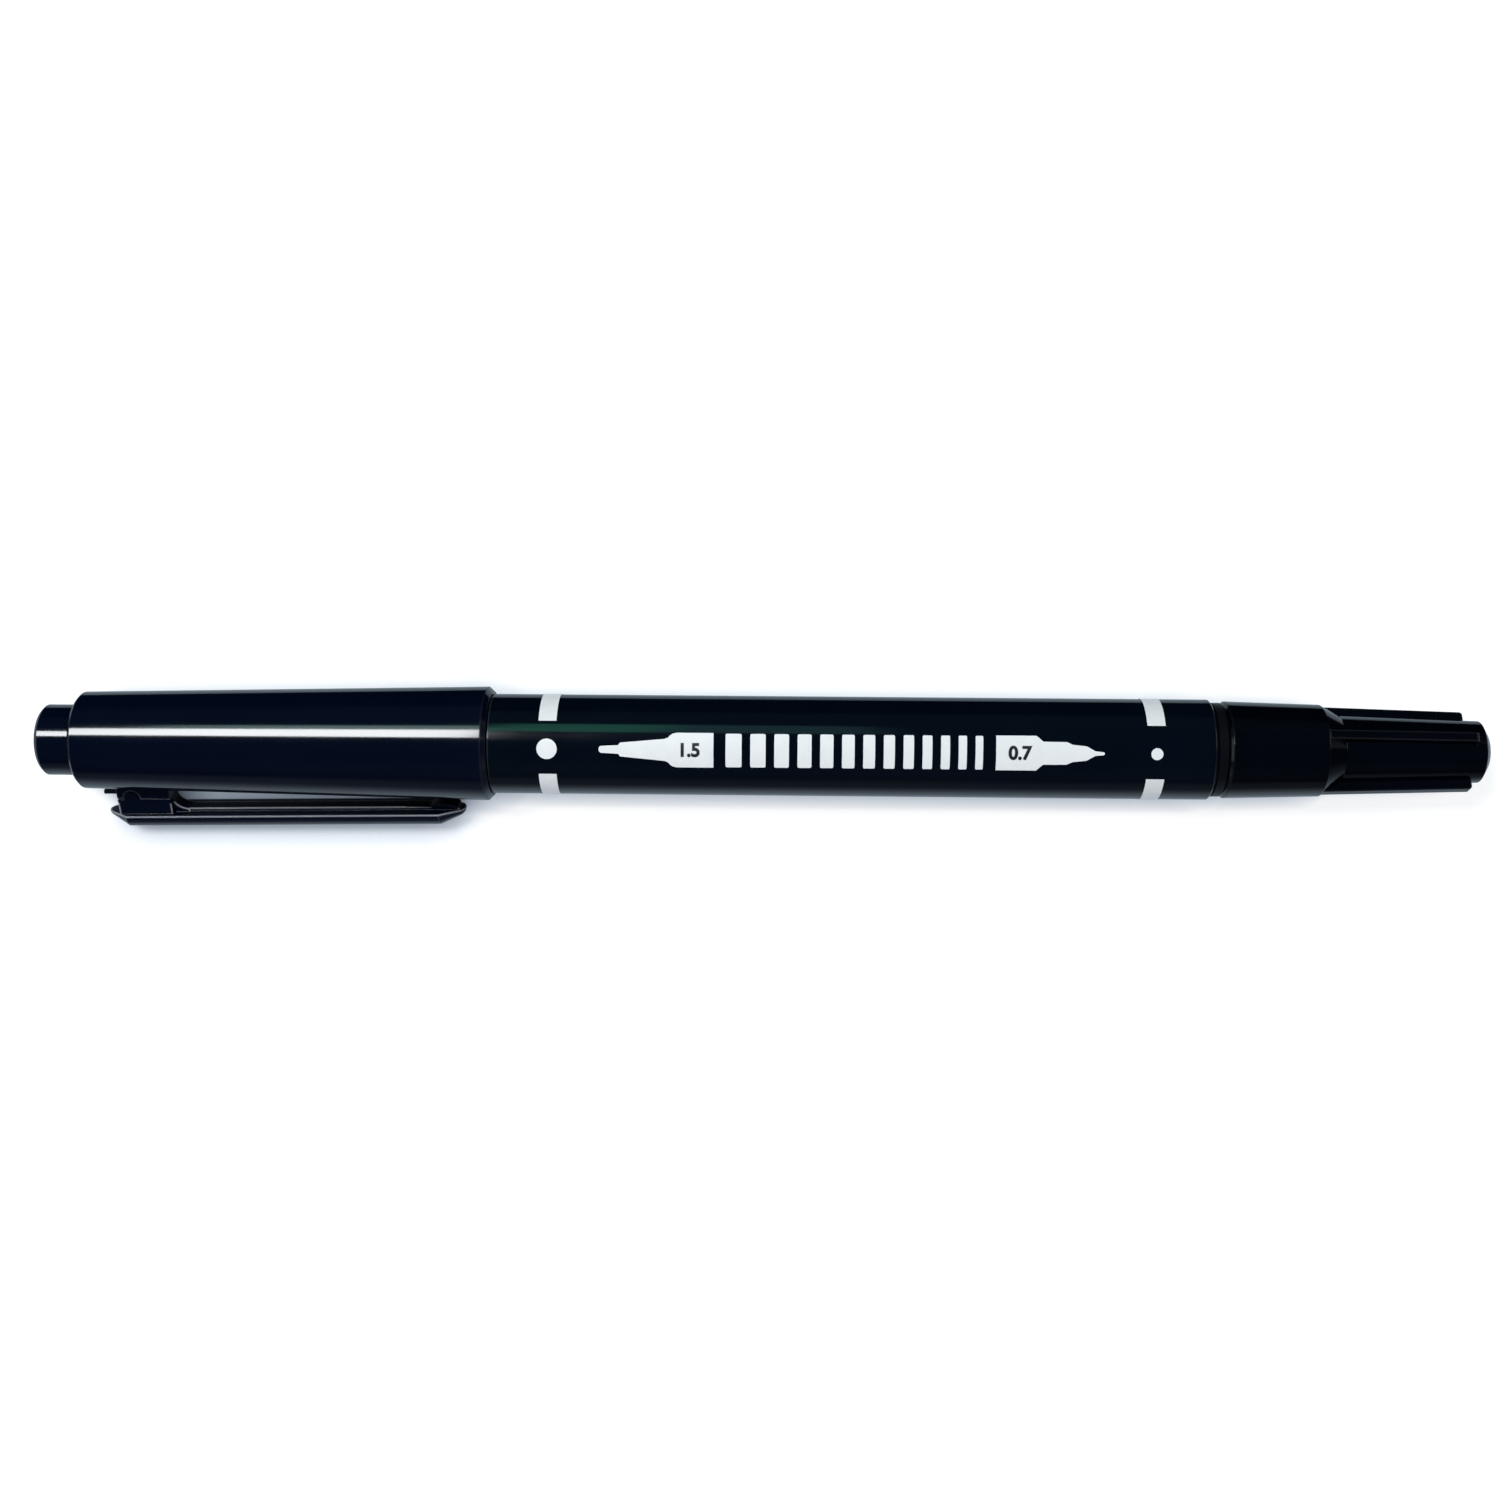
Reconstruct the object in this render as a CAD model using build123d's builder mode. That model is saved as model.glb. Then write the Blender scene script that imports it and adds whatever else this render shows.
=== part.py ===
from build123d import *
from math import asin, cos, radians, sin, tan
import os

# A felt marker with two tips, in millimetres. The pen's axis is X, with the fine tip at +X and
# the middle of the grip at the origin. It lies as on a table: its clip hangs down on the -Y side
# until the clip and the rim of the large cap both touch the table.

# Fits and small gaps
slide_fit = 0.05            # radial, a cap on the neck or seat that it slides over
hinge_fit = 0.05            # radial, the clip's round heel in its seat
mouth_gap = 0.10            # axial, a closed cap's rim to the shoulder behind it
inner_gap = 0.50            # axial, between inner rims that face each other
side_gap = 0.10             # beside the clip's heel

# Ink reservoir, its film and the nibs
reservoir_radius = 3.55
film_thickness = 0.10
broad_nib_radius = 1.05
broad_line = 1.50           # width of the line that the broad nib draws
broad_tip_length = 2.20
broad_nib_reach = 5.60      # beyond its holder's nose
fine_nib_radius = 0.65
fine_line = 0.70
fine_tip_length = 1.80
fine_nib_reach = 2.60
nib_socket = 6.00           # how deep each nib sits in the reservoir

# Barrel
grip_length = 67.60
barrel_wall = 0.80
air_gap = 0.30              # height of the inner ribs that centre the reservoir
barrel_rib_count = 6
barrel_rib_width = 0.60
lip_chamfer = 0.40
seat_length = 9.80          # reduced end that goes inside the large cap
seat_step = 0.20
seat_chamfer = 0.25

# Nib holders
plug_length = 6.00          # both holders, inside the barrel
vent_count = 3              # air grooves along each nib
vent_width = 0.40
vent_depth = 0.20
broad_flange_length = 2.00
broad_flange_step = 0.25
broad_neck_length = 5.00
broad_nose_length = 9.50
broad_nose_radius = 2.00
fine_flange_length = 0.80
fine_flange_step = 0.30
fine_neck_radius = 3.65
fine_neck_length = 7.65
fine_shoulder_length = 2.00
fine_nose_length = 6.50
fine_nose_radius = 1.50
fine_nose_bevel = 0.20

# Large cap, its inner seal and the seal's knob, which shows at the end of the pen
knob_radius = 3.40
knob_length = 3.70
knob_chamfer = 0.35
shank_step = 0.25           # the knob's shank, which goes through the end of the cap, is slimmer
knob_lip = 0.65             # the seal's flange beyond the knob
cap_mouth_wall = 0.85
cap_end_wall = 0.60
cap_floor_length = 1.50
cap_mouth_bevel = 0.45
cap_end_bevel = 0.25
seal_wall = 0.60
seal_gap = 0.30             # seal tube to the cap's bore
seal_flange_length = 1.20
seal_base_length = 2.80     # flange and floor of the seal
broad_tip_gap = 3.40        # nib tip to the floor of the seal

# Clip and the boss that carries it
clip_gap = 1.20             # clip's spine to the rim of the cap
clip_setback = 3.20         # free end of the clip to the rim of the cap
clip_lean = 1.00            # degrees that the clip leans in from its root to its free end
hull_radius = 1.70          # half-round hull of the clip
bow_tip_radius = 0.70
bow_taper = 33.00           # degrees that the hull narrows by, each side, before its round tip
bow_overhang = 1.35
stern_tip_radius = 0.90
stern_taper = 24.00
spine_height = 0.35
spine_width = 1.30
bump_length = 2.80
bump_height = 0.30
bump_setback = 0.60
post_length = 5.20
post_width = 2.30
clip_swing = 4.00           # degrees that the clip opens
web_length = 1.60
web_width = 1.50
boss_setback = 2.50
boss_height = 1.20
heel_radius = 0.80
heel_setback = 1.40
tongue_length = 1.60
tongue_width = 0.40
tongue_thickness = 0.35

# Small cap
skirt_mouth_wall = 0.90
skirt_end_wall = 0.65
skirt_bevel = 0.35
neck_end_gap = 0.60
cone_length = 1.80
cone_wall = 1.10            # axial, between the inner and outer cones
nose_gap = 0.55
core_wall = 0.87
core_draft = 0.43
core_bevel_width = 0.95
core_bevel_length = 0.60
fine_tip_gap = 4.15
small_cap_floor = 2.00
rib_count = 4
rib_width = 0.85
rib_base_height = 0.95
rib_end_height = 0.95
rib_setback = 1.60
rib_round = 0.30
rib_turn = -20.00           # degrees that the cap is turned on its neck

# Radii, worked outwards from the reservoir
film_radius = reservoir_radius + film_thickness
barrel_bore = film_radius + air_gap
grip_radius = barrel_bore + barrel_wall
seat_radius = grip_radius - seat_step
cap_bore = seat_radius + slide_fit
cap_mouth_radius = cap_bore + cap_mouth_wall
shank_radius = knob_radius - shank_step
floor_bore = knob_radius + knob_lip
cap_end_radius = floor_bore + cap_end_wall
seal_radius = floor_bore - seal_gap
seal_bore = seal_radius - seal_wall
broad_neck_radius = seal_bore - slide_fit
skirt_bore = fine_neck_radius + slide_fit
skirt_mouth_radius = skirt_bore + skirt_mouth_wall
skirt_end_radius = skirt_bore + skirt_end_wall
core_bore = fine_nose_radius + nose_gap
core_end_radius = core_bore + core_wall
core_base_radius = core_end_radius + core_draft
cone_inner_radius = skirt_bore + (core_bore - skirt_bore) * cone_wall / cone_length

# Stations along X, worked outwards from the grip to the broad tip's end
grip_left = -grip_length / 2
barrel_left = grip_left - seat_length
broad_flange_left = barrel_left - broad_flange_length
broad_neck_left = broad_flange_left - broad_neck_length
broad_nose_left = broad_neck_left - broad_nose_length
broad_tip = broad_nose_left - broad_nib_reach
cap_mouth = grip_left - mouth_gap
cap_seat_left = broad_flange_left - inner_gap
seal_mouth = broad_flange_left - inner_gap
seal_floor = broad_tip - broad_tip_gap
cap_floor = seal_floor - seal_base_length
cap_end = cap_floor - cap_floor_length
knob_end = cap_end - knob_length

# Stations along X to the fine tip's end
grip_right = grip_length / 2
barrel_right = grip_right + lip_chamfer
fine_flange_right = barrel_right + fine_flange_length
fine_neck_right = fine_flange_right + fine_neck_length
fine_nose_left = fine_neck_right + fine_shoulder_length
fine_nose_right = fine_nose_left + fine_nose_length
fine_tip = fine_nose_right + fine_nib_reach
skirt_mouth = fine_flange_right + mouth_gap
inner_cone_left = fine_neck_right + neck_end_gap
inner_cone_right = inner_cone_left + cone_length
skirt_end = inner_cone_left + cone_wall
core_left = skirt_end + cone_length
core_floor = fine_tip + fine_tip_gap
core_end = core_floor + small_cap_floor

# Ends of the reservoir and of the nibs in it
reservoir_left = barrel_left + plug_length
reservoir_right = barrel_right - plug_length
broad_nib_rear = reservoir_left + nib_socket
fine_nib_rear = reservoir_right - nib_socket

# Boss of the clip and the clip's ends
boss_left = cap_end + boss_setback
boss_right = boss_left + post_length
boss_top = cap_end_radius + boss_height
boss_base = (floor_bore + cap_end_radius) / 2
heel_x = boss_left + heel_setback
post_relief = heel_setback * tan(radians(clip_swing)) + hinge_fit
web_right = boss_right + web_length
clip_left = boss_left - bow_overhang
clip_right = cap_mouth - clip_setback

# Clip's hull: half round about a line beside the pen's axis, with its stations from the free end
clip_end_radius = cap_mouth_radius + clip_gap + spine_height
lean_rise = tan(radians(clip_lean))
bow_centre = clip_left - clip_right + bow_tip_radius
bow_shoulder = bow_tip_radius * cos(radians(bow_taper))
bow_left = bow_centre - bow_tip_radius * sin(radians(bow_taper))
bow_right = bow_left + (hull_radius - bow_shoulder) / tan(radians(bow_taper))
stern_centre = -stern_tip_radius
stern_shoulder = stern_tip_radius * cos(radians(stern_taper))
stern_right = stern_centre + stern_tip_radius * sin(radians(stern_taper))
stern_left = stern_right - (hull_radius - stern_shoulder) / tan(radians(stern_taper))
spine_left = web_right - clip_right
bump_right = -bump_setback
bump_left = bump_right - bump_length
bump_middle = (bump_left + bump_right) / 2
clip_root_radius = clip_end_radius - bow_right * lean_rise

# Planes through the pen's axis, with local x along the axis and local y outwards
clip_drop = asin((cap_mouth_radius - hull_radius) / clip_root_radius)
clip_plane = Plane(origin=(0, 0, 0), x_dir=(1, 0, 0), z_dir=(0, sin(clip_drop), -cos(clip_drop)))

# Planes of the clip's hull, from its free end: the first cuts it lengthwise, the second is its deck
hull_plane = Plane(
    origin=clip_plane.from_local_coords((clip_right, clip_end_radius)),
    x_dir=clip_plane.x_dir - clip_plane.y_dir * lean_rise,
    z_dir=clip_plane.z_dir,
)
deck_plane = Plane(origin=hull_plane.origin, x_dir=hull_plane.x_dir, z_dir=hull_plane.y_dir)
spine_root = clip_plane.to_local_coords(hull_plane.from_local_coords((spine_left, -spine_height)))
hull_root = clip_plane.to_local_coords(hull_plane.from_local_coords((spine_left, spine_height)))


def deck_radius(x):
    """The clip's deck at x, from the pen's axis."""
    return clip_end_radius + (clip_right - x) * lean_rise


def spoke_plane(index, count, turn=0):
    """The plane through the pen's axis at one of a number of even turns about it."""
    return Plane.XY.rotated((turn + 360 * index / count, 0, 0))


# Ink reservoir: a rod of fibre with a socket for each nib
with BuildPart() as ink_reservoir:
    with BuildSketch():
        with BuildLine():
            Polyline(
                (broad_nib_rear, 0),
                (broad_nib_rear, broad_nib_radius),
                (reservoir_left, broad_nib_radius),
                (reservoir_left, reservoir_radius),
                (reservoir_right, reservoir_radius),
                (reservoir_right, fine_nib_radius),
                (fine_nib_rear, fine_nib_radius),
                (fine_nib_rear, 0),
                close=True,
            )
        make_face()
    revolve(axis=Axis.X)
ink_reservoir.part.label = "ink_reservoir"

# Film: the plastic wrap that keeps the ink in the fibre
with BuildPart() as reservoir_film:
    with BuildSketch(Plane.YZ.offset(reservoir_left)):
        Circle(film_radius)
        Circle(reservoir_radius, mode=Mode.SUBTRACT)
    extrude(amount=reservoir_right - reservoir_left)
reservoir_film.part.label = "reservoir_film"

# Barrel: a tube with a reduced seat for the large cap, a bevelled lip and ribs round the reservoir
with BuildPart() as barrel:
    with BuildSketch():
        with BuildLine():
            Polyline(
                (barrel_left, barrel_bore),
                (barrel_left, seat_radius - seat_chamfer),
                (barrel_left + seat_chamfer, seat_radius),
                (grip_left, seat_radius),
                (grip_left, grip_radius),
                (grip_right, grip_radius),
                (barrel_right, grip_radius - lip_chamfer),
                (barrel_right, barrel_bore),
                close=True,
            )
        make_face()
    revolve(axis=Axis.X)
    for index in range(barrel_rib_count):
        with BuildSketch(spoke_plane(index, barrel_rib_count)):
            with BuildLine():
                Polyline(
                    (reservoir_left, film_radius),
                    (reservoir_right, film_radius),
                    (reservoir_right, barrel_bore + barrel_wall / 2),
                    (reservoir_left, barrel_bore + barrel_wall / 2),
                    close=True,
                )
            make_face()
        extrude(amount=barrel_rib_width / 2, both=True)
barrel.part.label = "barrel"

# Broad nib: a fibre rod with a tapered point
with BuildPart() as broad_nib:
    with BuildSketch():
        with BuildLine():
            Polyline(
                (broad_tip, 0),
                (broad_nib_rear, 0),
                (broad_nib_rear, broad_nib_radius),
                (broad_tip + broad_tip_length, broad_nib_radius),
                (broad_tip, broad_line / 2),
                close=True,
            )
        make_face()
    revolve(axis=Axis.X)
broad_nib.part.label = "broad_nib"

# Fine nib: a thinner rod with a longer point
with BuildPart() as fine_nib:
    with BuildSketch():
        with BuildLine():
            Polyline(
                (fine_tip, 0),
                (fine_nib_rear, 0),
                (fine_nib_rear, fine_nib_radius),
                (fine_tip - fine_tip_length, fine_nib_radius),
                (fine_tip, fine_line / 2),
                close=True,
            )
        make_face()
    revolve(axis=Axis.X)
fine_nib.part.label = "fine_nib"

# Broad nib holder: plug, flange, the neck that the cap's seal grips, and a tapered nose
with BuildPart() as broad_nib_holder:
    with BuildSketch():
        with BuildLine():
            Polyline(
                (reservoir_left, broad_nib_radius),
                (reservoir_left, barrel_bore),
                (barrel_left, barrel_bore),
                (barrel_left, seat_radius - broad_flange_step),
                (broad_flange_left, seat_radius - broad_flange_step),
                (broad_flange_left, broad_neck_radius),
                (broad_neck_left, broad_neck_radius),
                (broad_nose_left, broad_nose_radius),
                (broad_nose_left, broad_nib_radius),
                close=True,
            )
        make_face()
    revolve(axis=Axis.X)
    for index in range(vent_count):
        with BuildSketch(spoke_plane(index, vent_count)):
            with BuildLine():
                Polyline(
                    (broad_nose_left, 0),
                    (broad_nose_left, broad_nib_radius + vent_depth),
                    (reservoir_left, broad_nib_radius + vent_depth),
                    (reservoir_left, 0),
                    close=True,
                )
            make_face()
        extrude(amount=vent_width / 2, both=True, mode=Mode.SUBTRACT)
broad_nib_holder.part.label = "broad_nib_holder"

# Fine nib holder: its flange shows as the ring between the barrel and the small cap
with BuildPart() as fine_nib_holder:
    with BuildSketch():
        with BuildLine():
            Polyline(
                (reservoir_right, fine_nib_radius),
                (reservoir_right, barrel_bore),
                (barrel_right, barrel_bore),
                (barrel_right, grip_radius - fine_flange_step),
                (fine_flange_right, grip_radius - fine_flange_step),
                (fine_flange_right, fine_neck_radius),
                (fine_neck_right, fine_neck_radius),
                (fine_nose_left, fine_nose_radius),
                (fine_nose_right - fine_nose_bevel, fine_nose_radius),
                (fine_nose_right, fine_nose_radius - fine_nose_bevel),
                (fine_nose_right, fine_nib_radius),
                close=True,
            )
        make_face()
    revolve(axis=Axis.X)
    for index in range(vent_count):
        with BuildSketch(spoke_plane(index, vent_count)):
            with BuildLine():
                Polyline(
                    (fine_nose_right, 0),
                    (fine_nose_right, fine_nib_radius + vent_depth),
                    (reservoir_right, fine_nib_radius + vent_depth),
                    (reservoir_right, 0),
                    close=True,
                )
            make_face()
        extrude(amount=vent_width / 2, both=True, mode=Mode.SUBTRACT)
fine_nib_holder.part.label = "fine_nib_holder"

# Large cap: a tapered shell, open at the rim, with a hole for the knob and a boss for the clip
with BuildPart() as large_cap:
    with BuildSketch():
        with BuildLine():
            Polyline(
                (cap_end, shank_radius),
                (cap_end, cap_end_radius),
                (cap_mouth, cap_mouth_radius),
                (cap_mouth, cap_bore),
                (cap_seat_left, cap_bore),
                (cap_seat_left, floor_bore),
                (cap_floor, floor_bore),
                (cap_floor, shank_radius),
                close=True,
            )
        make_face()
    revolve(axis=Axis.X)
    rims = large_cap.edges().filter_by(GeomType.CIRCLE).group_by(Axis.X)
    chamfer(rims[0].sort_by(SortBy.RADIUS)[-1], cap_end_bevel)
    chamfer(rims[-1].sort_by(SortBy.RADIUS)[-1], cap_mouth_bevel)
    with BuildSketch(clip_plane):
        with BuildLine():
            Polyline(
                (boss_left, boss_base),
                (boss_left, boss_top),
                (boss_right, boss_top),
                (boss_right, boss_base),
                close=True,
            )
        make_face()
    extrude(amount=post_width / 2, both=True)
    with BuildSketch(clip_plane):
        with BuildLine():
            Polyline(
                (boss_left, boss_top),
                (boss_left - tongue_length, boss_top),
                (boss_left - tongue_length, boss_top - tongue_thickness),
                (boss_left, boss_top - tongue_thickness),
                close=True,
            )
        make_face()
    extrude(amount=tongue_width / 2, both=True)
    with BuildSketch(clip_plane):
        with Locations((heel_x, boss_top)):
            Circle(heel_radius + hinge_fit)
    extrude(amount=post_width / 2 + side_gap, both=True, mode=Mode.SUBTRACT)
large_cap.part.label = "large_cap"

# Seal of the large cap: a knob outside, a flange on the cap's floor and a tube round the neck
with BuildPart() as large_cap_seal:
    with BuildSketch():
        with BuildLine():
            Polyline(
                (knob_end, 0),
                (knob_end, knob_radius - knob_chamfer),
                (knob_end + knob_chamfer, knob_radius),
                (cap_end, knob_radius),
                (cap_end, shank_radius),
                (cap_floor, shank_radius),
                (cap_floor, floor_bore),
                (cap_floor + seal_flange_length, floor_bore),
                (cap_floor + seal_flange_length, seal_radius),
                (seal_mouth, seal_radius),
                (seal_mouth, seal_bore),
                (seal_floor, seal_bore),
                (seal_floor, 0),
                close=True,
            )
        make_face()
    revolve(axis=Axis.X)
large_cap_seal.part.label = "large_cap_seal"

# Clip: a half-round hull, a spine with a bump inside it, and a post whose round heel is the hinge
with BuildPart() as clip:
    with BuildSketch(hull_plane):
        with BuildLine():
            bow = CenterArc((bow_centre, 0), bow_tip_radius, 180, -(90 - bow_taper))
            stern = CenterArc((stern_centre, 0), stern_tip_radius, 0, 90 - stern_taper)
            Polyline(bow @ 1, (bow_right, hull_radius), (stern_left, hull_radius), stern @ 1)
            Line(bow @ 0, stern @ 0)
        make_face()
    revolve(axis=Axis(hull_plane.origin, hull_plane.x_dir))
    split(bisect_by=deck_plane, keep=Keep.TOP)
    with BuildSketch(hull_plane):
        with BuildLine():
            Polyline(
                (bump_right, -spine_height),
                (bump_right, spine_height),
                (spine_left, spine_height),
                (spine_left, -spine_height),
                (bump_left, -spine_height),
            )
            ThreePointArc(
                (bump_left, -spine_height),
                (bump_middle, -spine_height - bump_height),
                (bump_right, -spine_height),
            )
        make_face()
    extrude(amount=spine_width / 2, both=True)
    with BuildSketch(clip_plane):
        with BuildLine():
            Polyline(
                (boss_left, deck_radius(boss_left)),
                (boss_left, boss_top + post_relief),
                (heel_x, boss_top + post_relief),
                (heel_x, boss_top),
                (boss_right, boss_top),
                (boss_right, deck_radius(boss_right)),
                close=True,
            )
        make_face()
        with Locations((heel_x, boss_top)):
            Circle(heel_radius)
    extrude(amount=post_width / 2, both=True)
    with BuildSketch(clip_plane):
        with BuildLine():
            Polyline(
                (spine_root.X, spine_root.Y),
                (hull_root.X, hull_root.Y),
                (boss_right, deck_radius(boss_right) + spine_height),
                (boss_right, boss_top),
            )
            RadiusArc((boss_right, boss_top), (spine_root.X, spine_root.Y), web_length)
        make_face()
    extrude(amount=web_width / 2, both=True)
clip.part.label = "clip"

# Small cap: skirt, cone, bevelled core and the ribs that keep an air way beside the core
with BuildPart() as small_cap:
    with BuildSketch():
        with BuildLine():
            Polyline(
                (core_floor, 0),
                (core_floor, core_bore),
                (inner_cone_right, core_bore),
                (inner_cone_left, skirt_bore),
                (skirt_mouth, skirt_bore),
                (skirt_mouth, skirt_mouth_radius),
                (skirt_end, skirt_end_radius),
                (core_left, core_base_radius),
                (core_end - core_bevel_length, core_end_radius),
                (core_end, core_end_radius - core_bevel_width),
                (core_end, 0),
                close=True,
            )
        make_face()
    revolve(axis=Axis.X)
    rims = small_cap.edges().filter_by(GeomType.CIRCLE).group_by(Axis.X)
    chamfer(rims[0].sort_by(SortBy.RADIUS)[-1], skirt_bevel)
    for index in range(rib_count):
        with BuildSketch(spoke_plane(index, rib_count, rib_turn)) as rib:
            with BuildLine():
                Polyline(
                    (skirt_end, (cone_inner_radius + skirt_end_radius) / 2),
                    (skirt_end, core_base_radius + rib_base_height),
                    (core_end - rib_setback, core_end_radius + rib_end_height),
                    (core_end - rib_setback, core_end_radius - core_wall / 2),
                    (core_left, core_end_radius - core_wall / 2),
                    close=True,
                )
            make_face()
            fillet(rib.vertices().group_by(Axis.X)[-1].sort_by(Axis.Y)[-1], rib_round)
        extrude(amount=rib_width / 2, both=True)
small_cap.part.label = "small_cap"

os.makedirs("parts", exist_ok=True)
pieces = (
    barrel,
    ink_reservoir,
    reservoir_film,
    broad_nib_holder,
    broad_nib,
    fine_nib_holder,
    fine_nib,
    large_cap,
    large_cap_seal,
    clip,
    small_cap,
)
for piece in pieces:
    export_step(piece.part, f"parts/{piece.part.label}.step")
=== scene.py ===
# %% [markdown]
# # A twin-tip marker pen
# The pen is a round black marker with a broad tip under its large clip cap and a fine tip under its small
# ribbed cap. Every moulded shape already comes from the CAD model, in metres and in the right place. What
# is left for Blender is what a CAD model doesn't have: the print on the barrel, the finish of each plastic
# and felt, and the light. We load the model first and keep its box.

# %% Load the imported pen
from math import cos, pi, radians, sin

import bpy
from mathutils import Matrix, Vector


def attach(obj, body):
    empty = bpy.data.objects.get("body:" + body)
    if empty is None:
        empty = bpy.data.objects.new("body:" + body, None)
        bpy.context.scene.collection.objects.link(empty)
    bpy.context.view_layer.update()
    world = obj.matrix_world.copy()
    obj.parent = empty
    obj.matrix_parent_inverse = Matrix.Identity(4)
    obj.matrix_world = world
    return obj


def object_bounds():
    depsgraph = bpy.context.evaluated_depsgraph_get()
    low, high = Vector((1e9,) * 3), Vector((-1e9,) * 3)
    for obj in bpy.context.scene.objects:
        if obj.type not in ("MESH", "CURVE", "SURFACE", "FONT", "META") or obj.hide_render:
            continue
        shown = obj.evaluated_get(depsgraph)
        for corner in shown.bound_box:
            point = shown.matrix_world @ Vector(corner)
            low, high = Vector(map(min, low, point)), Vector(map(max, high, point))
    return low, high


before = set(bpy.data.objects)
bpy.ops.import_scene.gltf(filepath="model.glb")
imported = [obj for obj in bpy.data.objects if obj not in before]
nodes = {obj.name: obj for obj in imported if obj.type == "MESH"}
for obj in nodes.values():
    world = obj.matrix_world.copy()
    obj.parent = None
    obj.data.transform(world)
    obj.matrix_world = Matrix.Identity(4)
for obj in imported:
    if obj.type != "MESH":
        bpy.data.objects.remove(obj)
cad_box = [list(corner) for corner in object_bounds()]
mm = 0.001
print("pen loaded:", len(nodes), "nodes, box", cad_box)

# %% [markdown]
# ## The camera
# The picture was taken from straight above, close to a pen that lies on a white table. Close up, a lens
# shows the two ends of the pen from their inner sides, so distance and lens both matter. They were found by
# fitting the pen's known stations to the picture. A camera that isn't turned looks down with +Y up, which
# is already the view we want, and only a degree or so of tilt is left.

# %% Hang the camera over the table
camera_place = (-5.57 * mm, -4.20 * mm, 168.15 * mm)
camera_turn = (radians(1.30), radians(1.285), radians(0.535))
sensor_width, focal_length = 36.0, 42.31
nearest_seen = 10 * mm

bpy.ops.object.select_all(action="DESELECT")
bpy.ops.object.camera_add(location=camera_place, rotation=camera_turn)
camera = bpy.context.object
camera.name = "camera_over_table"
camera.data.sensor_width = sensor_width
camera.data.lens = focal_length
camera.data.clip_start = nearest_seen
scene = bpy.context.scene
scene.camera = camera
scene.view_settings.view_transform = "Standard"
print("camera at", tuple(round(v, 4) for v in camera.location), "lens", camera.data.lens)

# %% [markdown]
# ## A shorthand for shader nodes
# A finish is a small graph of nodes. Placing and wiring them by hand in Python takes many lines, so one
# class wraps a socket. Arithmetic on it adds Math nodes, and its `node` method adds any other node: first
# the node's settings, then what goes into its sockets.

# %% Wrap a socket
class Wire:
    """A socket in a node tree. Sums and products with it become Math nodes."""

    def __init__(self, tree, socket=None):
        self.tree, self.socket = tree, socket

    def node(self, kind, settings=None, sockets=None, out=0):
        made = self.tree.nodes.new("ShaderNode" + kind)
        for name, value in (settings or {}).items():
            if name == "stops":
                ramp = made.color_ramp.elements
                for stop, (place, shade) in ((ramp[0], value[0]), (ramp[-1], value[-1])):
                    stop.position, stop.color = place, shade
                for place, shade in value[1:-1]:
                    ramp.new(place).color = shade
            else:
                setattr(made, name, value)
        for name, value in (sockets or {}).items():
            if isinstance(value, Wire):
                self.tree.links.new(value.socket, made.inputs[name])
            else:
                made.inputs[name].default_value = value
        return Wire(self.tree, made.outputs[out] if made.outputs else None)

    def maths(self, operation, first, second):
        return self.node("Math", {"operation": operation}, {0: first, 1: second})

    def __add__(self, other):
        return self.maths("ADD", self, other)

    def __radd__(self, other):
        return self.maths("ADD", other, self)

    def __sub__(self, other):
        return self.maths("SUBTRACT", self, other)

    def __rsub__(self, other):
        return self.maths("SUBTRACT", other, self)

    def __mul__(self, other):
        return self.maths("MULTIPLY", self, other)

    def __rmul__(self, other):
        return self.maths("MULTIPLY", other, self)

    def __gt__(self, other):
        return self.maths("GREATER_THAN", self, other)


def start_finish(name):
    """An empty material and a wire to build its nodes with."""
    finish = bpy.data.materials.new(name)
    finish.use_nodes = True
    finish.node_tree.nodes.clear()
    return finish, Wire(finish.node_tree)


def blend(wire, share, low, high):
    """A colour between low and high."""
    return wire.node("Mix", {"data_type": "RGBA"}, {0: share, 6: low, 7: high}, out=2)


def grey(level):
    return level, level, level, 1


print("shader shorthand ready")

# %% [markdown]
# ## The table
# The table is plain white and touches the lowest point of the pen, which lies on its cap's rim and its
# clip. Its own colour is only a mid grey. The rest of the white is a glow, added for what is seen directly,
# in a reflection or through something clear, so that the table looks white and yet throws little light back
# on the pen. An Ambient Occlusion node takes the glow away close to the pen, where a white table is
# darkest, and turns it blue where the shadow is deep. The node looks up, leaning a little towards the back
# of the table, so more of the shadow falls in front of the pen, as in the picture. Reflections see a cooler
# white, which gives the black plastic its bluish outline.

# %% Lay the table
table_size = 8.0
table_grey = grey(0.40)
glow_level = 0.80
shadow_reach, shadow_gain, shadow_lean = 3.5 * mm, 1.25, radians(8)
deep_shade, open_white, mirrored_white = (0.50, 0.72, 1.0, 1), (0.98, 0.99, 1.0, 1), (0.58, 0.80, 1.0, 1)

bpy.ops.object.select_all(action="DESELECT")
bpy.ops.mesh.primitive_plane_add(size=table_size, location=(0, 0, cad_box[0][2]))
table = bpy.context.object
table.name = "table"
bpy.ops.object.transform_apply(location=True, rotation=True, scale=True)

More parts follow.
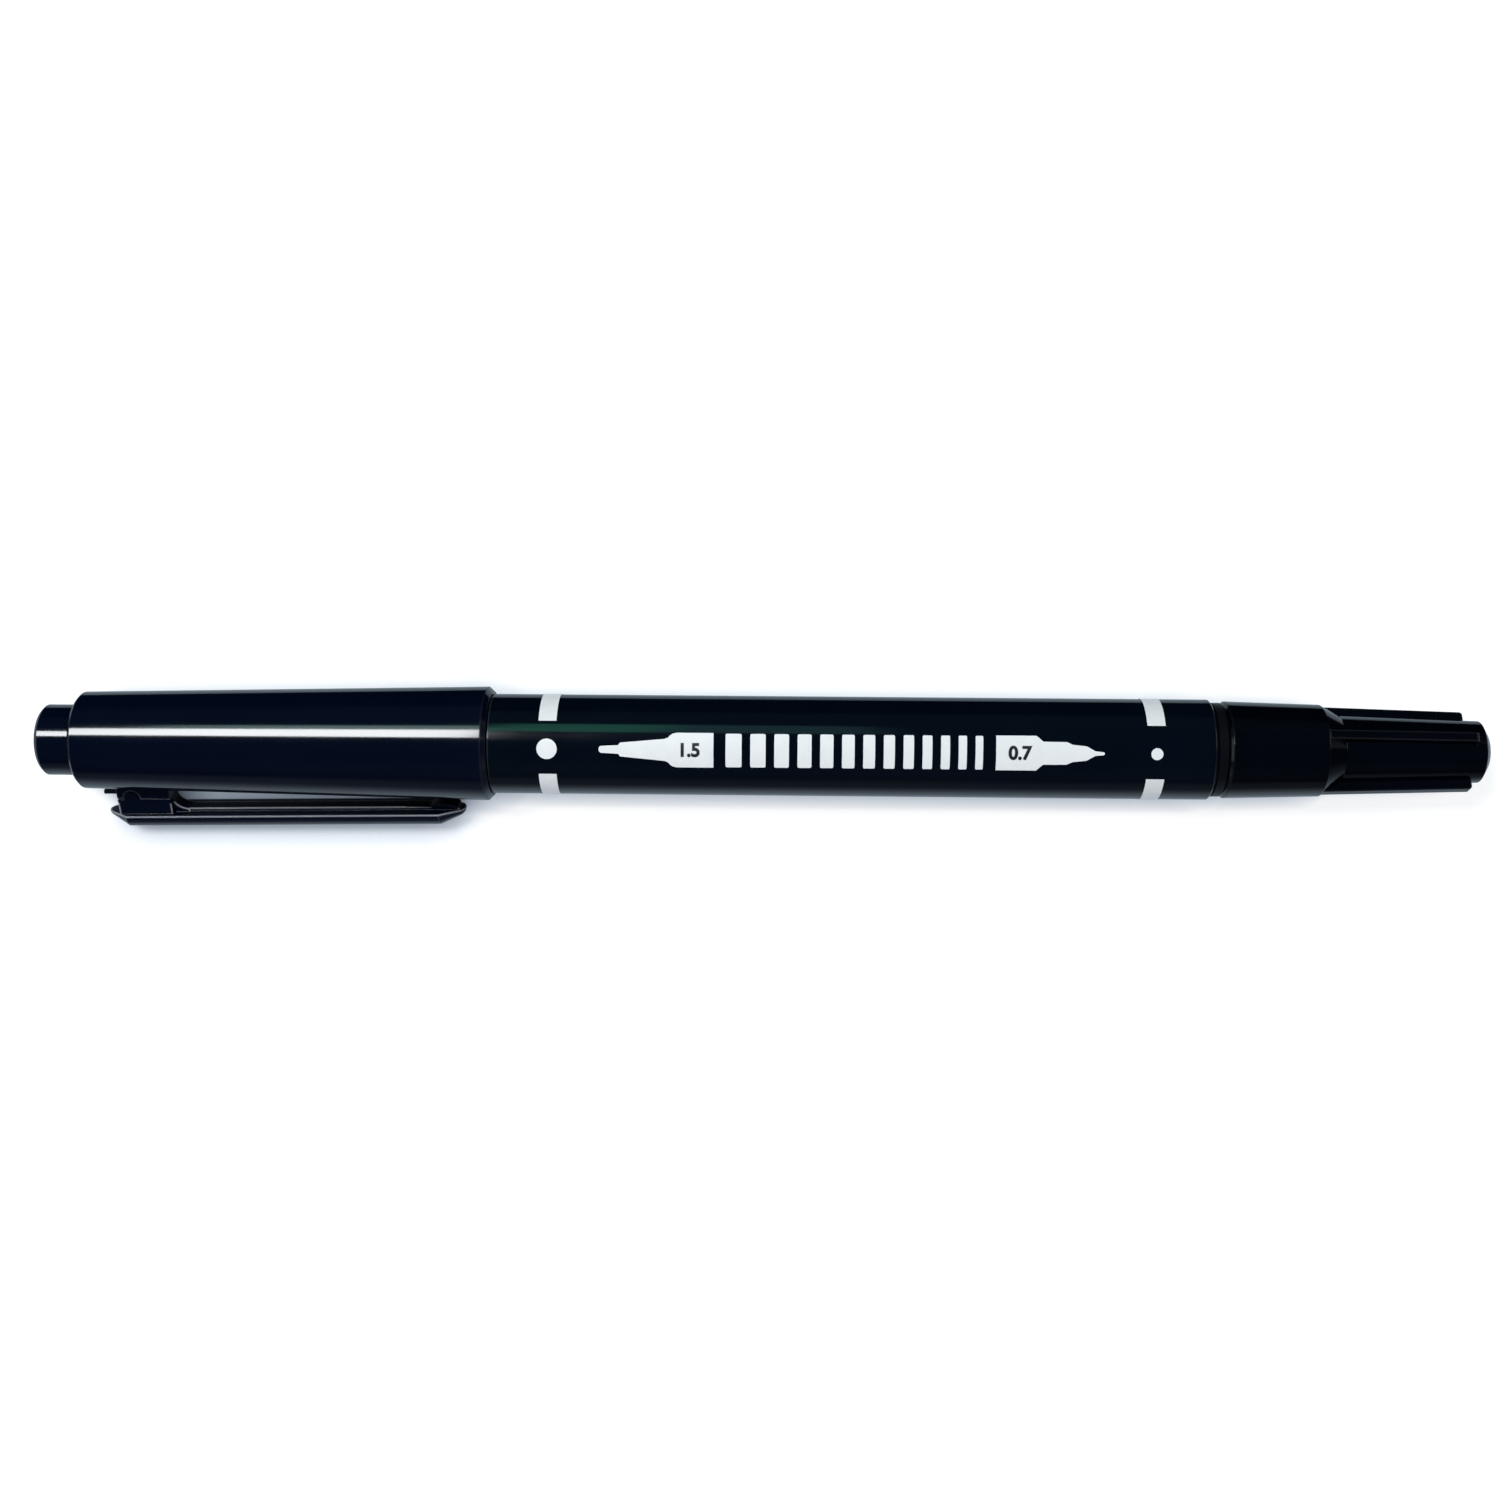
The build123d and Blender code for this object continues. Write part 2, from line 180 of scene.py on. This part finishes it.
white_table, wire = start_finish("white_table")
path = "LightPath"
direct = wire.node(path, out="Is Camera Ray")
seen = direct + wire.node(path, out="Is Glossy Ray") + wire.node(path, out="Is Transmission Ray") > 0.5
lean = wire.node("CombineXYZ", None, {"X": 0.0, "Y": sin(shadow_lean), "Z": cos(shadow_lean)})
clear = wire.node("AmbientOcclusion", {"samples": 8}, {"Distance": shadow_reach, "Normal": lean}, out="AO")
clear = wire.maths("MAXIMUM", 1.0 - shadow_gain * (1.0 - clear), 0.0)
tint = blend(wire, direct, mirrored_white, blend(wire, clear, deep_shade, open_white))
matt = wire.node("BsdfDiffuse", None, {"Color": table_grey})
glow = wire.node("Emission", None, {"Color": tint, "Strength": glow_level * seen * clear})
wire.node("OutputMaterial", None, {"Surface": wire.node("AddShader", None, {0: matt, 1: glow})})
table.data.materials.append(white_table)
print("table at z =", round(cad_box[0][2] / mm, 3), "mm")

# %% [markdown]
# ## The panels
# Black gloss has hardly a colour of its own, so what we see of it is what it mirrors. In the picture a
# single soft panel, above and to the left behind the pen, draws one bright stripe along the large cap and
# stops just before the barrel. A dim panel beside it gives the stripe its soft green upper edge. The barrel
# mirrors only a greenish surface further back, and two panels, the second much fainter, let that fade to
# the right. Two more stand low beyond the ends of the pen, where a straight barrel can't mirror them into a
# camera overhead. A last one in front softens the shadow, and is kept out of reflections, so that there is
# no second stripe.

# %% Hang the panels
panel_height = 0.60


def hang_panel(name, place, width, depth, watts, tint=(1, 1, 1), mirrored=True):
    """A rectangular lamp that shines straight down."""
    bpy.ops.object.light_add(type="AREA", location=place)
    panel = bpy.context.object
    panel.name = name
    panel.data.shape = "RECTANGLE"
    panel.data.size, panel.data.size_y = width, depth
    panel.data.energy = watts
    panel.data.color = tint
    panel.visible_glossy = mirrored
    return panel


def turn_to_pen(panel):
    panel.rotation_euler = panel.location.to_track_quat("Z", "Y").to_euler()


hang_panel("stripe_panel", (-0.285, 0.195, panel_height), width=0.238, depth=0.180, watts=3.7,
           tint=(0.96, 0.985, 1.0))
hang_panel("edge_panel", (-0.258, 0.345, panel_height), width=0.184, depth=0.120, watts=0.230,
           tint=(0.65, 1.0, 0.92))
hang_panel("dim_panel", (-0.118, 0.457, panel_height), width=0.094, depth=0.305, watts=0.130,
           tint=(0.20, 1.0, 0.65))
hang_panel("faint_panel", (-0.017, 0.457, panel_height), width=0.108, depth=0.305, watts=0.060,
           tint=(0.40, 0.95, 1.0))
turn_to_pen(hang_panel("right_fill", (0.74, 0.30, 0.46), width=0.60, depth=0.60, watts=1.35))
turn_to_pen(hang_panel("left_fill", (-0.80, 0.00, 0.40), width=0.60, depth=0.60, watts=1.0))
turn_to_pen(hang_panel("front_fill", (0.05, -0.55, 0.55), width=0.90, depth=0.60, watts=2.1, mirrored=False))

# %% [markdown]
# ## A black card
# A white table shines into the far side of a black pen and turns it grey, but in the picture that side is
# deep black. Photographers stand a black card there. Ours is a plane on its edge behind the pen, which only
# reflections can see, so it throws no shadow and never shows in the picture.

# %% Stand the card behind the pen
card_place = (-9 * mm, 12 * mm, 0)
card_length, card_height = 150 * mm, 10.5 * mm

bpy.ops.object.select_all(action="DESELECT")
bpy.ops.mesh.primitive_plane_add(size=1.0, location=card_place, rotation=(pi / 2, 0, 0))
card = bpy.context.object
card.name = "black_card"
card.scale = (card_length, card_height, 1)
bpy.ops.object.transform_apply(location=True, rotation=True, scale=True)
card.visible_camera = card.visible_diffuse = card.visible_transmission = card.visible_shadow = False
black_card, wire = start_finish("black_card")
soft_black = wire.node("BsdfDiffuse", None, {"Color": grey(0.01)})
wire.node("OutputMaterial", None, {"Surface": soft_black})
card.data.materials.append(black_card)
print("card of", round(card_length / mm), "by", card_height / mm, "mm")

# %% [markdown]
# ## The room
# The room is dark overhead, so that the top of the pen stays black, and pale only at the horizon. The
# camera itself sees a plain pale backdrop instead, which carries the table on when we look from low down.

# %% Tint the room
horizon, wall, overhead = (0.70, 0.73, 0.78, 1), (0.10, 0.12, 0.16, 1), (0.02, 0.03, 0.05, 1)
backdrop = (0.784, 0.792, 0.80, 1)

room = bpy.data.worlds.new("room")
room.use_nodes = True
room.node_tree.nodes.clear()
scene.world = room
air = Wire(room.node_tree)
height = air.node("SeparateXYZ", None, {0: air.node("TexCoord", out="Generated")}, out="Z")
shade = air.node("ValToRGB", {"stops": [(0.0, horizon), (0.14, wall), (0.75, overhead)]}, {0: height})
shade = blend(air, air.node("LightPath", out="Is Camera Ray"), shade, backdrop)
air.node("OutputWorld", None, {"Surface": air.node("Background", None, {"Color": shade, "Strength": 1.0})})
print("world:", scene.world.name)

# %% [markdown]
# ## Moulded gloss plastic
# The caps, the clip and the barrel are polished mouldings. Up close such a skin isn't a perfect mirror: it
# has a faint ripple from the mould, fine hairlines along the pen from pockets and from the caps being
# pushed on, and patches where fingers have dulled it. All three come from noise on Object coordinates. A
# Bevel node rounds the shading at sharp edges, and Ambient Occlusion that looks inwards finds the same
# edges by how little bulk is behind them and paints them a little paler, a painted highlight. Together they
# give the thin bright lines that a rounded moulded edge mirrors. The black stays deep between the stripe and
# the outline, so a Layer Weight node mixes in a skin without gloss for the angles between.

# %% Make the gloss finish
# The first grey is the colour of the painted edge highlight on convex edges.
edge_highlight_grey = (0.55, 0.58, 0.63, 1)
touch_dulls, hairline_dulls, hairline_depth = 0.07, 0.03, 0.15
polish_by_slant = (0.08, 1.0), (0.28, 0.12), (0.42, 0.12), (0.58, 0.5)


def gloss_plastic(name, deep, pale, dullness, edge_round, ripple_strength, edge_highlight, highlit_side=None):
    """Polished plastic. A highlit side is a direction and the distance along it where the painted edge
    highlight starts.
    """
    finish, wire = start_finish(name)
    place = wire.node("TexCoord", out="Object")
    along = wire.node("Mapping", None, {"Vector": place, "Scale": (0.03, 1, 1)})
    ripple = wire.node("TexNoise", None, {"Vector": place, "Scale": 700, "Detail": 1})
    touch = wire.node("TexNoise", None, {"Vector": place, "Scale": 110, "Detail": 4, "Roughness": 0.6})
    hairline = wire.node("TexNoise", None, {"Vector": along, "Scale": 5200, "Detail": 2})
    edge = wire.node("Bevel", {"samples": 6}, {"Radius": edge_round})
    bulk = wire.node("AmbientOcclusion", {"samples": 6, "inside": True, "only_local": True},
                     {"Distance": edge_round}, out="AO")
    # Convex edges are painted paler here: a painted highlight for the bright lines that rounded edges mirror.
    wear_and_edge_highlight = edge_highlight * (1.0 - bulk)
    if highlit_side:
        outwards, start = highlit_side
        reach = wire.node("VectorMath", {"operation": "DOT_PRODUCT"}, {0: place, 1: outwards}, out=1)
        wear_and_edge_highlight = wear_and_edge_highlight * (reach > start)
    tone = blend(wire, wear_and_edge_highlight, blend(wire, touch, deep, pale), edge_highlight_grey)
    dull = dullness + touch_dulls * touch + hairline_dulls * hairline
    skin = wire.node("Bump", None, {"Strength": ripple_strength, "Distance": 0.02 * mm,
                                    "Height": ripple + hairline_depth * hairline, "Normal": edge})
    coat = {"Base Color": tone, "Roughness": dull, "Normal": skin}
    plain = wire.node("BsdfPrincipled", None, {**coat, "Specular IOR Level": 0.0})
    gloss = wire.node("BsdfPrincipled", None, {**coat, "IOR": 1.45})
    slant = wire.node("LayerWeight", None, {"Blend": 0.5}, out="Facing")
    stops = [(turned, grey(share)) for turned, share in polish_by_slant]
    polish = wire.node("ValToRGB", {"stops": stops}, {0: slant})
    surface = wire.node("MixShader", None, {0: polish, 1: plain, 2: gloss})
    wire.node("OutputMaterial", None, {"Surface": surface})
    return finish


print("gloss ready, polish by slant", polish_by_slant)

# %% [markdown]
# ## The black mouldings
# The four mouldings share that finish but not its black: the large cap and its clip lean to navy, the
# barrel to teal, and the small cap is nearly soot. The clip gets the strongest painted edge highlight, and
# only on its outer half, beyond a plane that leans with it.

# %% Dress the black mouldings
def dress(finish, *names):
    for name in names:
        skins = nodes[name].data.materials
        skins.clear()
        skins.append(finish)
        print(name, "wears", finish.name)


navy, blue_black = (0.0004, 0.0020, 0.0080, 1), (0.0010, 0.0030, 0.0110, 1)
teal, teal_black = (0.0003, 0.0018, 0.0045, 1), (0.0008, 0.0034, 0.0080, 1)
soot, soot_black = (0.0002, 0.0007, 0.0020, 1), (0.0004, 0.0011, 0.0034, 1)
clip_outwards = (-0.01745, -0.86885, -0.49477)
clip_back = clip_outwards, 7.5 * mm

# Each finish sets the strength of its painted edge highlight; the clip's is strongest, on its outer half
# only.
cap_gloss = gloss_plastic("cap_gloss", navy, blue_black, dullness=0.05, edge_round=0.16 * mm,
                          ripple_strength=0.02, edge_highlight=0.10)
clip_gloss = gloss_plastic("clip_gloss", navy, blue_black, dullness=0.05, edge_round=0.20 * mm,
                           ripple_strength=0.004, edge_highlight=1.20, highlit_side=clip_back)
barrel_gloss = gloss_plastic("barrel_gloss", teal, teal_black, dullness=0.05, edge_round=0.16 * mm,
                             ripple_strength=0.02, edge_highlight=0.12)
small_cap_gloss = gloss_plastic("small_cap_gloss", soot, soot_black, dullness=0.07, edge_round=0.16 * mm,
                                ripple_strength=0.02, edge_highlight=0.05)
dress(cap_gloss, "large_cap", "large_cap_seal")
dress(clip_gloss, "clip")
dress(barrel_gloss, "barrel")
dress(small_cap_gloss, "small_cap")

# %% [markdown]
# ## Satin mouldings inside
# The nib holders are only seen with the caps off, apart from a thin ring beside the small cap. They are
# moulded from the same black resin with a spark-eroded, satin skin, so they get a finer and stronger grain
# and a much duller finish.

# %% Make the satin finish
satin_black, satin_worn = (0.002, 0.0025, 0.004, 1), (0.005, 0.006, 0.008, 1)

satin, wire = start_finish("holder_satin")
place = wire.node("TexCoord", out="Object")
grain = wire.node("TexNoise", None, {"Vector": place, "Scale": 5200, "Detail": 3})
wear_and_edge_highlight = wire.node("TexNoise", None, {"Vector": place, "Scale": 260, "Detail": 3})
tone = blend(wire, wear_and_edge_highlight, satin_black, satin_worn)
edge = wire.node("Bevel", {"samples": 6}, {"Radius": 0.12 * mm})
skin = wire.node("Bump", None, {"Strength": 0.25, "Distance": 0.02 * mm, "Height": grain, "Normal": edge})
body = wire.node("BsdfPrincipled", None, {"Base Color": tone, "Roughness": 0.34 + 0.16 * wear_and_edge_highlight,
                                          "Normal": skin, "IOR": 1.12})
wire.node("OutputMaterial", None, {"Surface": body})
dress(satin, "broad_nib_holder", "fine_nib_holder")

# %% [markdown]
# ## Felt and fibre
# The nibs are bonded polyester fibre and the reservoir is a bundle of the same fibre, all running along the
# pen. The ink is clear, so both stay off-white. Noise that is stretched along X gives threads of about a
# tenth of a millimetre, in the colour as well as in the bump.

# %% Make the fibre finishes
def thread_finish(name, thread, gap, per_metre, depth):
    finish, wire = start_finish(name)
    place = wire.node("TexCoord", out="Object")
    along = wire.node("Mapping", None, {"Vector": place, "Scale": (0.06, 1, 1)})
    threads = wire.node("TexNoise", None,
                        {"Vector": along, "Scale": per_metre, "Detail": 3, "Roughness": 0.65})
    damp = wire.node("TexNoise", None, {"Vector": place, "Scale": 240, "Detail": 2})
    tone = blend(wire, threads, gap, thread)
    skin = wire.node("Bump", None, {"Strength": 0.6, "Distance": depth, "Height": threads})
    body = wire.node("BsdfPrincipled", None,
                     {"Base Color": tone, "Roughness": 0.95 - 0.35 * damp, "Normal": skin})
    wire.node("OutputMaterial", None, {"Surface": body})
    return finish


nib_felt = thread_finish("nib_felt", thread=(0.88, 0.88, 0.84, 1), gap=(0.62, 0.62, 0.57, 1),
                         per_metre=7000, depth=0.03 * mm)
reservoir_fibre = thread_finish("reservoir_fibre", thread=(0.90, 0.90, 0.87, 1), gap=(0.58, 0.58, 0.54, 1),
                                per_metre=4200, depth=0.06 * mm)
dress(nib_felt, "broad_nib", "fine_nib")
dress(reservoir_fibre, "ink_reservoir")

# %% [markdown]
# ## The wrap of the reservoir
# A thin clear film holds the reservoir's fibres together. It is see-through, with a milky haze that is
# uneven where the film is stretched, so the haze goes into Alpha.

# %% Make the clear film
thin_film, hazy_film = (0.80, 0.84, 0.86, 1), (0.92, 0.93, 0.94, 1)

film, wire = start_finish("clear_film")
place = wire.node("TexCoord", out="Object")
along = wire.node("Mapping", None, {"Vector": place, "Scale": (0.15, 1, 1)})
haze = wire.node("TexNoise", None, {"Vector": along, "Scale": 900, "Detail": 3})
tone = blend(wire, haze, thin_film, hazy_film)
body = wire.node("BsdfPrincipled", None, {"Base Color": tone, "Roughness": 0.12 + 0.12 * haze,
                                          "Alpha": 0.30 + 0.30 * haze})
wire.node("OutputMaterial", None, {"Surface": body})
dress(film, "reservoir_film")

# %% [markdown]
# ## Two inks
# The marks on the barrel are screen printed in white, with the two numbers in a second pass of black. A
# screen leaves a slightly uneven coat, with a fine pebble and a few thin spots, and it is much duller than
# the gloss plastic under it.

# %% Mix the inks
def ink(name, full, thin, dullness):
    finish, wire = start_finish(name)
    place = wire.node("TexCoord", out="Object")
    pebble = wire.node("TexNoise", None, {"Vector": place, "Scale": 6500, "Detail": 2})
    cover = wire.node("TexNoise", None, {"Vector": place, "Scale": 900, "Detail": 4})
    tone = blend(wire, cover, thin, full)
    skin = wire.node("Bump", None, {"Strength": 0.2, "Distance": 0.01 * mm, "Height": pebble})
    body = wire.node("BsdfPrincipled", None,
                     {"Base Color": tone, "Roughness": dullness + 0.15 * pebble, "Normal": skin})
    wire.node("OutputMaterial", None, {"Surface": body})
    return finish


ink_dullness = 0.38
white_ink = ink("white_ink", (0.90, 0.91, 0.92, 1), (0.80, 0.82, 0.83, 1), ink_dullness)
black_ink = ink("black_ink", (0.004, 0.006, 0.010, 1), (0.010, 0.013, 0.018, 1), ink_dullness)
print("inks:", white_ink.name, black_ink.name)

# %% [markdown]
# ## A coat of ink
# Every mark is a thin sheet that lies a hair above the barrel. Solidify gives it the thickness of a coat of
# ink, and the mark then rides on the barrel's body. The marks are shaped in edit mode, where an operator
# acts on all that is selected, so a second helper opens one object with nothing in it selected.

# %% Coat a mark and open it for editing
ink_coat = 0.02 * mm
ink_lift = 0.008 * mm
smooth_below = radians(40)


def edit_alone(piece):
    """Selects one object and opens it in edit mode with nothing in it selected."""
    if bpy.context.mode != "OBJECT":
        bpy.ops.object.mode_set(mode="OBJECT")
    bpy.ops.object.select_all(action="DESELECT")
    piece.select_set(True)
    bpy.context.view_layer.objects.active = piece
    bpy.ops.object.mode_set(mode="EDIT")
    bpy.ops.mesh.select_all(action="DESELECT")


def coat_and_ride(mark, finish):
    """Thickens a sheet of ink outwards and fixes it to the barrel."""
    coat = mark.modifiers.new("coat", "SOLIDIFY")
    coat.thickness, coat.offset = ink_coat, 1.0
    bpy.ops.object.modifier_apply(modifier=coat.name)
    bpy.ops.object.shade_smooth_by_angle(angle=smooth_below)
    mark.data.materials.clear()
    mark.data.materials.append(finish)
    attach(mark, "pen_body")
    print(mark.name, "printed,", len(mark.data.polygons), "faces")


print("a coat is", ink_coat / mm, "mm thick")

# %% [markdown]
# ## The printed bands
# A white band goes round the barrel near each cap and leaves a window on the side that faces up. It starts
# as an open cylinder, a hair wider than the barrel. Two cuts with Bisect mark the window, and the faces
# between them are deleted before the band gets its coat. The second band is a moved copy.

# %% Print the bands
barrel_radius = 4.75 * mm
print_tilt = radians(-6.0)
window_half = radians(31.5)
band_sides, band_width = 120, 1.68 * mm
band_left, band_right = -28.20 * mm, 28.33 * mm

bpy.ops.object.select_all(action="DESELECT")
bpy.ops.mesh.primitive_cylinder_add(vertices=band_sides, radius=barrel_radius + ink_lift, depth=band_width,
                                    end_fill_type="NOTHING", location=(band_left, 0, 0),
                                    rotation=(0, pi / 2, 0))
left_band = bpy.context.object
left_band.name = "printed_band_left"
bpy.ops.object.transform_apply(location=True, rotation=True, scale=True)
edit_alone(left_band)
for turn in (print_tilt - window_half, print_tilt + window_half):
    bpy.ops.mesh.select_all(action="SELECT")
    bpy.ops.mesh.bisect(plane_co=(0, 0, 0), plane_no=(0, cos(turn), -sin(turn)))
bpy.ops.mesh.select_all(action="DESELECT")
bpy.ops.object.mode_set(mode="OBJECT")
for face in left_band.data.polygons:
    spot = face.center
    upwards = spot.y * sin(print_tilt) + spot.z * cos(print_tilt)
    face.select = upwards > barrel_radius * cos(window_half)
bpy.ops.object.mode_set(mode="EDIT")
bpy.ops.mesh.select_mode(type="FACE")
bpy.ops.mesh.delete(type="FACE")
bpy.ops.object.mode_set(mode="OBJECT")
right_band = left_band.copy()
right_band.data = left_band.data.copy()
right_band.name = "printed_band_right"
scene.collection.objects.link(right_band)
coat_and_ride(left_band, white_ink)
edit_alone(right_band)
bpy.ops.mesh.select_all(action="SELECT")
bpy.ops.transform.translate(value=(band_right - band_left, 0, 0))
bpy.ops.object.mode_set(mode="OBJECT")
coat_and_ride(right_band, white_ink)

# %% [markdown]
# ## Flat marks on a round barrel
# The other marks are drawn flat above the barrel and then dropped on it. A flat sheet can only bend where
# it has edges, so Bisect first slices it into narrow strips along the pen. Shrinkwrap then projects it
# straight down on a helper sleeve with many sides, which is rounder than the barrel's own mesh.

# %% Make the sleeve and the drop
sleeve_sides, sleeve_length = 240, 66 * mm
drawing_height = 8 * mm
strip = 0.22 * mm

bpy.ops.object.select_all(action="DESELECT")
bpy.ops.mesh.primitive_cylinder_add(vertices=sleeve_sides, radius=barrel_radius, depth=sleeve_length,
                                    end_fill_type="NOTHING", rotation=(0, pi / 2, 0))
sleeve = bpy.context.object
sleeve.name = "print_sleeve"
bpy.ops.object.transform_apply(location=True, rotation=True, scale=True)


def drop_on_barrel(mark, lift, finish):
    """Slices a flat mark along the pen, drops it on the sleeve and coats it."""
    edit_alone(mark)
    low = min(v.co.y for v in mark.data.vertices)
    high = max(v.co.y for v in mark.data.vertices)
    cuts = int((high - low) / strip)
    for cut in range(1, cuts + 1):
        bpy.ops.mesh.select_all(action="SELECT")
        bpy.ops.mesh.bisect(plane_co=(0, low + (high - low) * cut / (cuts + 1), 0), plane_no=(0, 1, 0))
    bpy.ops.object.mode_set(mode="OBJECT")
    drop = mark.modifiers.new("drop", "SHRINKWRAP")
    drop.target, drop.wrap_method = sleeve, "PROJECT"
    drop.use_project_z = drop.use_negative_direction = True
    drop.use_positive_direction = False
    drop.offset = lift
    bpy.ops.object.modifier_apply(modifier=drop.name)
    coat_and_ride(mark, finish)


print("sleeve of", len(sleeve.data.polygons), "sides")

# %% [markdown]
# ## The tip pictures
# Beside each cap the print shows the outline of the tip under it, so that one knows which cap to pull. Each
# outline starts as a plane of the size of its body. Its end edge is extruded from station to station and
# scaled to the width there, as one would draw a turned profile. The corners at the point are then rounded.

# %% Draw the two tips
print_line = -0.58 * mm
body_half = 1.60
point_round = 0.85


def draw_tip(name, back, stations):
    """A flat silhouette in mm: a body from back to the first x, then each (x, half width) after it."""
    front, width = stations[0]
    bpy.ops.object.select_all(action="DESELECT")
    bpy.ops.mesh.primitive_plane_add(size=1.0, location=((back + front) / 2 * mm, print_line, drawing_height))
    tip = bpy.context.object
    tip.name = name
    tip.scale = (abs(front - back) * mm, 2 * width * mm, 1)
    bpy.ops.object.transform_apply(location=True, rotation=True, scale=True)
    edit_alone(tip)
    bpy.ops.object.mode_set(mode="OBJECT")
    for vertex in tip.data.vertices:
        vertex.select = abs(vertex.co.x - front * mm) < 0.01 * mm
    bpy.ops.object.mode_set(mode="EDIT")
    bpy.ops.mesh.select_mode(type="VERT")
    for x, next_width in stations[1:]:
        bpy.ops.mesh.extrude_region_move(TRANSFORM_OT_translate={"value": ((x - front) * mm, 0, 0)})
        bpy.ops.transform.resize(value=(1, next_width / width, 1),
                                 center_override=(x * mm, print_line, drawing_height))
        front, width = x, next_width
    bpy.ops.mesh.bevel(offset=point_round * width * mm, segments=5, affect="VERTICES")
    bpy.ops.object.mode_set(mode="OBJECT")
    return tip


broad_mark = draw_tip("printed_broad_tip", -12.67, [
    (-16.10, body_half), (-16.45, 1.52), (-16.70, 1.36), (-16.90, 1.15), (-17.20, 1.02), (-21.35, 0.64),
    (-21.55, 0.40), (-23.35, 0.31)])
drop_on_barrel(broad_mark, ink_lift, white_ink)
fine_mark = draw_tip("printed_fine_tip", 13.50, [
    (17.23, body_half), (17.85, 1.06), (20.03, 1.04), (20.57, 0.79), (21.83, 0.66), (22.65, 0.21),
    (23.50, 0.13)])
drop_on_barrel(fine_mark, ink_lift, white_ink)

# %% [markdown]
# ## The line widths
# Each picture carries the width of line that its tip draws, as a plain number in millimetres. The number is
# a text object that is turned into a mesh, moved to its place there, and dropped on the barrel like the
# rest, one coat of ink higher.

# %% Print the numbers
number_size, number_weight = 1.72 * mm, 0.065 * mm
number_foot = print_line - 0.58 * mm


def print_number(name, words, x):
    bpy.ops.object.select_all(action="DESELECT")
    bpy.ops.object.text_add(location=(x, number_foot, drawing_height))
    number = bpy.context.object
    number.name = name
    number.data.body = words
    number.data.size = number_size
    number.data.align_x = "CENTER"
    number.data.offset = number_weight
    bpy.ops.object.convert(target="MESH")
    number = bpy.context.object
    bpy.ops.object.transform_apply(location=True, rotation=True, scale=True)
    drop_on_barrel(number, ink_lift + ink_coat, black_ink)


print_number("printed_number_broad", "1.5", -14.95 * mm)
print_number("printed_number_fine", "0.7", 15.70 * mm)

# %% [markdown]
# ## The stroke scale
# Between the pictures a row of upright strokes narrows from the broad tip's line to the fine tip's. One
# stroke is drawn as a plane with softened corners, and the row is made of copies that are scaled to their
# own width.

# %% Print the strokes
stroke_count = 13
stroke_first, stroke_last = -11.55 * mm, 12.30 * mm
stroke_height, stroke_corner = 3.1 * mm, 0.15 * mm
broad_line, fine_line = 1.5, 0.7
narrowing = fine_line - broad_line
widths = [(broad_line + narrowing * i / (stroke_count - 1)) * mm for i in range(stroke_count)]
space = (stroke_last - stroke_first - sum(widths)) / (stroke_count - 1)

bpy.ops.object.select_all(action="DESELECT")
bpy.ops.mesh.primitive_plane_add(size=1.0, location=(0, print_line, drawing_height))
stroke = bpy.context.object
stroke.scale = (widths[0], stroke_height, 1)
bpy.ops.object.transform_apply(location=True, rotation=True, scale=True)
edit_alone(stroke)
bpy.ops.mesh.select_all(action="SELECT")
bpy.ops.mesh.bevel(offset=stroke_corner, segments=3, affect="VERTICES")
bpy.ops.object.mode_set(mode="OBJECT")
row, left = [], stroke_first
for width in widths:
    copy = stroke.copy()
    copy.data = stroke.data.copy()
    scene.collection.objects.link(copy)
    edit_alone(copy)
    bpy.ops.mesh.select_all(action="SELECT")
    bpy.ops.transform.resize(value=(width / widths[0], 1, 1), center_override=(0, print_line, drawing_height))
    bpy.ops.transform.translate(value=(left + width / 2, 0, 0))
    bpy.ops.object.mode_set(mode="OBJECT")
    row.append(copy)
    left += width + space
bpy.data.objects.remove(stroke)
bpy.ops.object.select_all(action="DESELECT")
for copy in row:
    copy.select_set(True)
bpy.context.view_layer.objects.active = row[0]
bpy.ops.object.join()
strokes = bpy.context.object
strokes.name = "printed_stroke_scale"
drop_on_barrel(strokes, ink_lift, white_ink)

# %% [markdown]
# ## The dots
# In the window of each band sits a dot, large beside the broad tip and small beside the fine one. It is a
# filled circle, dropped on the barrel like the other marks. After the last mark the sleeve has done its
# work.

# %% Print the dots
dot_sides = 40


def print_dot(name, x, across):
    bpy.ops.object.select_all(action="DESELECT")
    bpy.ops.mesh.primitive_circle_add(vertices=dot_sides, radius=across / 2, fill_type="NGON",
                                      location=(x, print_line, drawing_height))
    dot = bpy.context.object
    dot.name = name
    bpy.ops.object.transform_apply(location=True, rotation=True, scale=True)
    drop_on_barrel(dot, ink_lift, white_ink)


print_dot("printed_dot_broad", band_left, 1.9 * mm)
print_dot("printed_dot_fine", band_right, 1.1 * mm)
bpy.data.objects.remove(sleeve)
